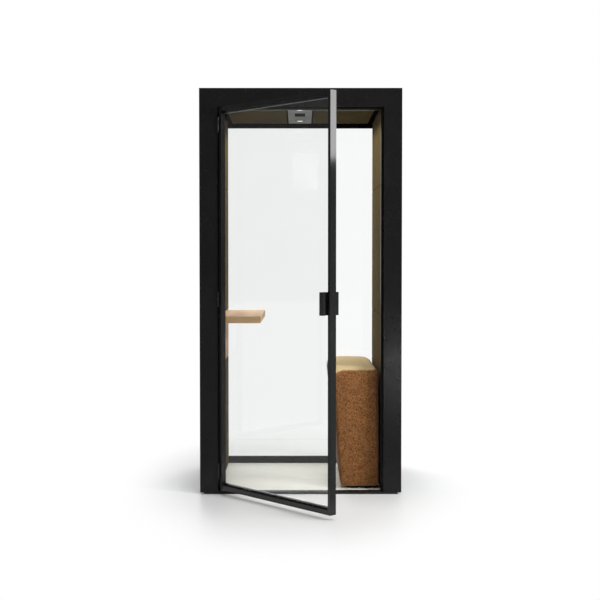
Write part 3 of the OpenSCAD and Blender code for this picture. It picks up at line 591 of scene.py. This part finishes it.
def inflate(piece):
    start = [vertex.co.copy() for vertex in piece.data.vertices]
    cloth = piece.modifiers.new("cloth", "CLOTH")
    cloth.settings.use_pressure = True
    cloth.settings.uniform_pressure_force = PRESSURE
    cloth.settings.effector_weights.gravity = 0.0
    cloth.settings.tension_stiffness = STIFFNESS
    cloth.settings.compression_stiffness = STIFFNESS
    scene = bpy.context.scene
    for number in range(1, FRAMES + 1):
        scene.frame_set(number)
    apply_modifiers(piece)
    scene.frame_set(1)
    for vertex, home in zip(piece.data.vertices, start):
        move = vertex.co - home
        if move.length > TRAVEL_LIMIT:
            vertex.co = home + move.normalized() * TRAVEL_LIMIT
    return len(piece.data.vertices)


print("inflated points:", inflate(seat))

# %% [markdown]
# ## Loops of wool
#
# The cover is boucle: a fabric of small loops, rough enough to break the outline. The loops are
# real relief here, a few tenths of a millimetre to a millimetre of noise along each point's normal.
# The flat top is a smoother, paler cloth, so the relief dies away towards it. The seam between the
# two cloths dips on the free side, and climbs where the wall side rolls over. How far is given by
# two distances from that side, between which the change happens, and a height.

# %% Boucle relief
LOOP_SIZE = 0.0060
LOOP_HEIGHT = 0.0013
TOP_BAND = 0.024
BAND_BLUR = 0.010
SMOOTH_TOP = 0.85
DIP_NEAR, DIP_FAR, DIP_DEPTH = 0.025, 0.075, 0.016
CLIMB_NEAR, CLIMB_FAR, CLIMB_RISE = 0.006, 0.041, 0.011


def smooth(value, low, high):
    share = max(0.0, min(1.0, (value - low) / (high - low)))
    return share * share * (3 - 2 * share)


def seam_height(x):
    dip = 1 - smooth(x - seat_low.x, DIP_NEAR, DIP_FAR)
    climb = 1 - smooth(seat_high.x - x, CLIMB_NEAR, CLIMB_FAR)
    return seat_high.z - TOP_BAND - DIP_DEPTH * dip + CLIMB_RISE * climb


def raise_loops(piece, levels):
    fine = piece.modifiers.new("fine", "SUBSURF")
    fine.levels = levels
    apply_modifiers(piece)
    mesh = piece.data
    normals = [vertex.normal.copy() for vertex in mesh.vertices]
    for vertex, normal in zip(mesh.vertices, normals):
        over_seam = vertex.co.z - seam_height(vertex.co.x)
        rough = 1.0 - SMOOTH_TOP * smooth(over_seam, -BAND_BLUR, BAND_BLUR)
        lift = noise.noise(vertex.co / LOOP_SIZE) * LOOP_HEIGHT * rough
        vertex.co += normal * lift
    for face in mesh.polygons:
        face.use_smooth = True


raise_loops(seat, 1)
print("seat faces:", len(seat.data.polygons))

# %% [markdown]
# ## The seat's two cloths
#
# Brown loops catch light on their crowns and are dark between, so the side's colour follows a
# cell-like pattern at the size of a loop, with broader changes of tone over it. The top is a tan
# cloth with a fine, even thread. Where they meet, the loops stand up past the seam, so the border
# is broken by the same pattern.


# %% The seam between the cloths
def above_seam(tree, point):
    """How high a point stands, once the seam's dip and climb are taken off."""
    parts = add(tree, "ShaderNodeSeparateXYZ", {"Vector": point}).outputs
    dip = mapped(tree, parts["X"], seat_low.x + DIP_NEAR, seat_low.x + DIP_FAR, DIP_DEPTH, 0.0, "SMOOTHSTEP")
    climb = mapped(tree, parts["X"], seat_high.x - CLIMB_FAR, seat_high.x - CLIMB_NEAR, 0.0, -CLIMB_RISE,
                   "SMOOTHSTEP")
    return arithmetic(tree, "ADD", parts["Z"], arithmetic(tree, "ADD", dip, climb))


# %% Seat cloth
LOOPS = 160.0  # this and the next three are scales per metre
CURLS = 260.0
TONES = 22.0
TOP_THREADS = 520.0
LOOP_WANDER = 0.006
LOOP_DEPTH = 0.002
STRAY_CURL = 0.006  # how far curls and loops carry a colour across the seam
STRAY_LOOP = 0.003
SEAM_BLUR = 0.003


def loop_crowns(tree, point):
    """1 on the crown of each loop and 0 between them. Noise moves the cells, so that no grid shows."""
    wobble = add(tree, "ShaderNodeTexNoise", {"Vector": point, "Scale": LOOPS, "Detail": 2.0})
    wander = {0: wobble.outputs["Color"], "Scale": LOOP_WANDER}
    spread = add(tree, "ShaderNodeVectorMath", wander, operation="SCALE")
    moved = add(tree, "ShaderNodeVectorMath", {0: point, 1: spread.outputs[0]}, operation="ADD")
    cells = {"Vector": moved.outputs[0], "Scale": LOOPS}
    loops = add(tree, "ShaderNodeTexVoronoi", cells, feature="SMOOTH_F1")
    return mapped(tree, loops.outputs["Distance"], 0.15, 0.75, 1.0, 0.0)


def seat_cloth():
    sockets = {"Specular IOR Level": 0.15, "Sheen Weight": 0.15, "Sheen Roughness": 0.5}
    material, tree, shader = new_material("seat_cloth", **sockets)
    point = object_point(tree)
    crown = loop_crowns(tree, point)
    curl = noise_value(tree, point, CURLS, 3.0, 0.6)
    woolly = arithmetic(tree, "MULTIPLY", crown, mapped(tree, curl, 0.25, 0.7, 0.35, 1.0))
    side = mixed(tree, woolly, colour(0.090, 0.034, 0.0105), colour(0.40, 0.185, 0.068))
    tone = place(tree, mottle, {"Dark": colour(0.78, 0.74, 0.70), "Light": colour(1, 1, 1), "Scale": TONES})
    side = mixed(tree, 1.0, side, tone["Color"], "MULTIPLY")
    threads = place(tree, fibres, {"Threads": TOP_THREADS})
    top = mixed(tree, threads["Shade"], colour(0.47, 0.345, 0.165), colour(0.64, 0.49, 0.265))
    curls = mapped(tree, curl, 0.3, 0.7, -STRAY_CURL, STRAY_CURL)
    ragged = arithmetic(tree, "ADD", above_seam(tree, point), curls)
    ragged = arithmetic(tree, "ADD", ragged, mapped(tree, crown, 0.0, 1.0, STRAY_LOOP, -STRAY_LOOP))
    rim = seat_high.z - TOP_BAND
    is_top = mapped(tree, ragged, rim - SEAM_BLUR, rim + SEAM_BLUR)
    tree.links.new(mixed(tree, is_top, side, top), shader.inputs["Base Color"])
    tree.links.new(mapped(tree, is_top, 0, 1, 1.0, 0.88), shader.inputs["Roughness"])
    relief = mixed(tree, is_top, woolly, threads["Height"])
    tree.links.new(bumped(tree, relief, 0.55, LOOP_DEPTH), shader.inputs["Normal"])
    return material


seat.data.materials.clear()
seat.data.materials.append(seat_cloth())
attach(seat, "seat")
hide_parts("seat_cushion")
announce(seat.data.materials[0])

# %% [markdown]
# ## Screws
#
# Small fasteners tell the size of a thing. The roof vents and the arms under the table are held by
# domed screws with a cross recess. One head is modelled ring by ring with the cross pressed in, and
# copies of it are joined into one piece per place.

# %% Screw heads
HEAD_RADIUS = 0.0045
HEAD_RISE = 0.0012
HEAD_RINGS = (1.0, 0.92, 0.7, 0.42)  # shares of the radius, from the rim to the edge of the recess
DOME_WIDTH = 0.92  # the share of a half sphere's width that the dome takes
RECESS_STEP = 0.0009
RECESS_WIDTH = 0.72  # nearer to 1 makes the arms of the cross thinner
SIDES = 24


def screw_mesh(mesh, place_at, axis):
    """Adds one domed head with a cross recess, standing at place_at with its top towards axis."""
    turn = Vector((0, 0, 1)).rotation_difference(axis).to_matrix().to_4x4()
    turn.translation = place_at
    rings = []
    for share in HEAD_RINGS:
        lift = 0.0 if share == HEAD_RINGS[0] else HEAD_RISE * math.sqrt(1 - (share * DOME_WIDTH) ** 2)
        reach = HEAD_RADIUS * share
        ring = []
        for side in range(SIDES):
            angle = 2 * math.pi * side / SIDES
            in_cross = share == HEAD_RINGS[-1] and abs(math.cos(2 * angle)) > RECESS_WIDTH
            height = lift - RECESS_STEP if in_cross else lift
            spot = Vector((reach * math.cos(angle), reach * math.sin(angle), height))
            ring.append(mesh.verts.new(turn @ spot))
        rings.append(ring)
    for outer, inner in zip(rings, rings[1:]):
        for side in range(SIDES):
            after = (side + 1) % SIDES
            mesh.faces.new((outer[side], outer[after], inner[after], inner[side]))
    pit = mesh.verts.new(place_at)
    for side in range(SIDES):
        mesh.faces.new((rings[-1][side], rings[-1][(side + 1) % SIDES], pit))
    mesh.faces.new(list(reversed(rings[0])))


def screws(name, places, axis, body, slot):
    mesh = bmesh.new()
    for spot in places:
        screw_mesh(mesh, Vector(spot), Vector(axis))
    data = bpy.data.meshes.new(name)
    mesh.to_mesh(data)
    mesh.free()
    data.materials.append(bright_steel if slot == "steel" else anodised_black)
    piece = bpy.data.objects.new(name, data)
    bpy.context.scene.collection.objects.link(piece)
    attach(piece, body)


# %% [markdown]
# ## Where the screws go
#
# Each roof vent has four screws in its flange, just inside the rim. Each table arm has three, driven
# up through it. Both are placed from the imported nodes' own boxes, so they follow a changed size.

# %% Screw places
RIM_MARGIN = 0.0005
SEATED = 0.0003
ARM_INSET = 0.02
ARM_REACHES = (0.05, 0.12, 0.19)

vent_low, vent_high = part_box("roof_vents")
VENT_RADIUS = (vent_high.x - vent_low.x) / 2
screw_ring = VENT_RADIUS - HEAD_RADIUS - RIM_MARGIN
roof_spots = []
for centre_y in (vent_low.y + VENT_RADIUS, vent_high.y - VENT_RADIUS):
    for quarter in range(4):
        angle = math.pi / 4 + quarter * math.pi / 2
        spot_y = centre_y + screw_ring * math.sin(angle)
        roof_spots.append((screw_ring * math.cos(angle), spot_y, vent_high.z - SEATED))

arm_low, arm_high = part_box("table_brackets")
table_low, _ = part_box("table_top")
arm_spots = []
for arm_y in (arm_low.y + ARM_INSET, arm_high.y - ARM_INSET):
    for reach in ARM_REACHES:
        arm_spots.append((table_low.x + reach, arm_y, table_low.z + SEATED))
screws("roof_screws", roof_spots, (0, 0, 1), "pod", "frame_black")
screws("arm_screws", arm_spots, (0, 0, -1), "pod", "steel")
print("screws:", len(roof_spots) + len(arm_spots))

# %% [markdown]
# ## The studio's sky
#
# The pod stands in a white studio with a lit wall behind it. What is seen directly or through glass
# is plain white. What is seen as a mirror image is bright behind the pod and dim in front of it,
# which keeps black paint black. The soft light comes from behind only, stronger towards the wall.
# The Light Path node tells these kinds of rays apart.

# %% Sky
BACK_LIGHT = 0.9
FRONT_LIGHT = 0.14
WALL_EDGES = (0.3, 0.9)  # a mirrored ray's backward share where the wall begins, and where it is full
AMBIENT = 1.3


def seen_directly(tree, path):
    """1 for what the camera sees, also through panes, and 0 for what it sees mirrored or lit."""
    unmirrored = arithmetic(tree, "LESS_THAN", path.outputs["Glossy Depth"], 0.5)
    through = arithmetic(tree, "MULTIPLY", path.outputs["Is Transmission Ray"], unmirrored)
    return arithmetic(tree, "MAXIMUM", path.outputs["Is Camera Ray"], through)


def studio_world():
    world = bpy.data.worlds.new("studio")
    bpy.context.scene.world = world
    world.use_nodes = True
    tree = world.node_tree
    tree.nodes.clear()
    direction = add(tree, "ShaderNodeTexCoord").outputs["Generated"]
    back = add(tree, "ShaderNodeSeparateXYZ", {"Vector": direction}).outputs["Y"]
    mirrored = mapped(tree, back, *WALL_EDGES, FRONT_LIGHT, BACK_LIGHT)
    path = add(tree, "ShaderNodeLightPath")
    is_soft = path.outputs["Is Diffuse Ray"]
    soft = arithmetic(tree, "MULTIPLY", is_soft, mapped(tree, back, 0.0, 1.0, 0.0, AMBIENT))
    hard = arithmetic(tree, "MULTIPLY", arithmetic(tree, "SUBTRACT", 1.0, is_soft), mirrored)
    level = arithmetic(tree, "MAXIMUM", arithmetic(tree, "ADD", soft, hard), seen_directly(tree, path))
    sky = add(tree, "ShaderNodeBackground", {"Color": colour(1, 1, 1), "Strength": level})
    output = add(tree, "ShaderNodeOutputWorld")
    tree.links.new(sky.outputs[0], output.inputs["Surface"])


studio_world()
print("sky:", bpy.context.scene.world.name)

# %% [markdown]
# ## The studio's floor
#
# The floor takes the pod's shadow close to it and runs out to plain white further off, so that the
# object stands on a clean page. The white is an emission that only the camera, panes and mirror
# images see, so it adds no light to the pod. It fades in with the distance from the pod, faster to
# the sides than to the front.

# %% Floor
FLOOR_SIZE = 60.0
FLOOR_DROP = 0.0005
FLOOR_COLOUR = colour(0.86, 0.865, 0.865)
FLOOR_GLOW = 0.10
FLOOR_IN_REFLECTIONS = 0.35
SHADOW_REACH = (1.2, 2.15)
FASTER_SIDEWAYS = 2.0


def white_share(tree):
    """How much of the plain white shows at a point of the floor."""
    squeezed = add(tree, "ShaderNodeMapping", {"Vector": object_point(tree)})
    squeezed.inputs["Scale"].default_value = (FASTER_SIDEWAYS, 1.0, 1.0)
    length = add(tree, "ShaderNodeVectorMath", {0: squeezed.outputs[0]}, operation="LENGTH")
    return mapped(tree, length.outputs["Value"], *SHADOW_REACH, FLOOR_GLOW, 1.0, "SMOOTHSTEP")


def floor_material():
    sockets = {"Base Color": FLOOR_COLOUR, "Specular IOR Level": 0.5, "Roughness": 0.42}
    material, tree, shader = new_material("studio_floor", **sockets)
    path = add(tree, "ShaderNodeLightPath")
    direct = seen_directly(tree, path)
    mirrored = arithmetic(tree, "GREATER_THAN", path.outputs["Glossy Depth"], 0.5)
    dimmed = arithmetic(tree, "MULTIPLY", mirrored, FLOOR_IN_REFLECTIONS)
    level = arithmetic(tree, "MAXIMUM", direct, dimmed)
    share = arithmetic(tree, "MULTIPLY", arithmetic(tree, "MAXIMUM", direct, mirrored), white_share(tree))
    white = add(tree, "ShaderNodeEmission", {"Color": colour(1, 1, 1), "Strength": level})
    blend = add(tree, "ShaderNodeMixShader", {"Fac": share, 1: shader.outputs[0], 2: white.outputs[0]})
    show(tree, blend)
    return material


def studio_floor():
    mesh = bmesh.new()
    bmesh.ops.create_grid(mesh, x_segments=1, y_segments=1, size=FLOOR_SIZE / 2)
    data = bpy.data.meshes.new("studio_floor")
    mesh.to_mesh(data)
    mesh.free()
    data.materials.append(floor_material())
    floor = bpy.data.objects.new("studio_floor", data)
    floor.location.z = -FLOOR_DROP
    bpy.context.scene.collection.objects.link(floor)


studio_floor()
print("floor:", FLOOR_SIZE, "m wide")

# %% [markdown]
# ## Lamps
#
# Two strips are there for their mirror images: one brightens the upper part of the open door's
# edge, the other draws the soft highlight on the right post. Four softboxes give the light itself
# and show in no mirror: a key from the front right, a high fill in front, a lamp high behind the pod
# that throws the shadow forwards, and a weak fill from the left.

# %% Softboxes
POD_MIDDLE = (0.0, 0.0, 1.0)


def softbox(name, spot, target, width, height, watts, mirrored=False):
    data = bpy.data.lights.new(name, "AREA")
    data.shape = "RECTANGLE"
    data.size = width
    data.size_y = height
    data.energy = watts
    lamp = bpy.data.objects.new(name, data)
    lamp.location = spot
    lamp.rotation_euler = (Vector(target) - Vector(spot)).to_track_quat("-Z", "Y").to_euler()
    lamp.visible_camera = False
    lamp.visible_glossy = mirrored
    lamp.visible_transmission = mirrored
    bpy.context.scene.collection.objects.link(lamp)


softbox("edge_strip", (1.6, -1.45, 2.325), (0.0, -1.45, 2.325), 0.6, 0.8, 12, mirrored=True)
softbox("post_strip", (1.08, -5.9, 0.21), (0.53, -0.5, 0.71), 0.4, 0.12, 3.5, mirrored=True)
softbox("key", (3.7, -3.1, 2.3), POD_MIDDLE, 1.8, 1.8, 195)
softbox("front_fill", (0.9, -3.4, 4.5), POD_MIDDLE, 1.8, 1.8, 86)
softbox("overhead", (-0.3, 2.1, 5.5), POD_MIDDLE, 1.6, 1.6, 190)
softbox("left_fill", (-2.2, -4.4, 2.4), (0.2, 0.0, 0.9), 1.8, 1.8, 32)

# %% [markdown]
# ## The ceiling spots' light
#
# A lens glows, but too weakly to light the cabin. A spot lamp just under each lens does that, and
# stays unseen itself. Its beam is almost a half sphere, so it washes the walls up to the ceiling and
# leaves the ceiling dark.

# %% Ceiling spots
SPOT_WATTS = 6.5
SPOT_DROP = 0.03
BEAM_ANGLE = math.radians(178)
BEAM_BLEND = 0.15
WARM_WHITE = (1.0, 0.93, 0.82)

lens_low, lens_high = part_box("light_lenses")
LENS_RADIUS = (lens_high.x - lens_low.x) / 2

for number, lens_y in enumerate((lens_low.y + LENS_RADIUS, lens_high.y - LENS_RADIUS)):
    beam = bpy.data.lights.new(f"ceiling_spot_{number}", "SPOT")
    beam.energy = SPOT_WATTS
    beam.spot_size = BEAM_ANGLE
    beam.spot_blend = BEAM_BLEND
    beam.shadow_soft_size = LENS_RADIUS
    beam.color = WARM_WHITE
    lamp = bpy.data.objects.new(f"ceiling_spot_{number}", beam)
    lamp.location = (0, lens_y, lens_low.z - SPOT_DROP)
    lamp.visible_camera = False
    lamp.visible_glossy = False
    lamp.visible_transmission = False
    bpy.context.scene.collection.objects.link(lamp)
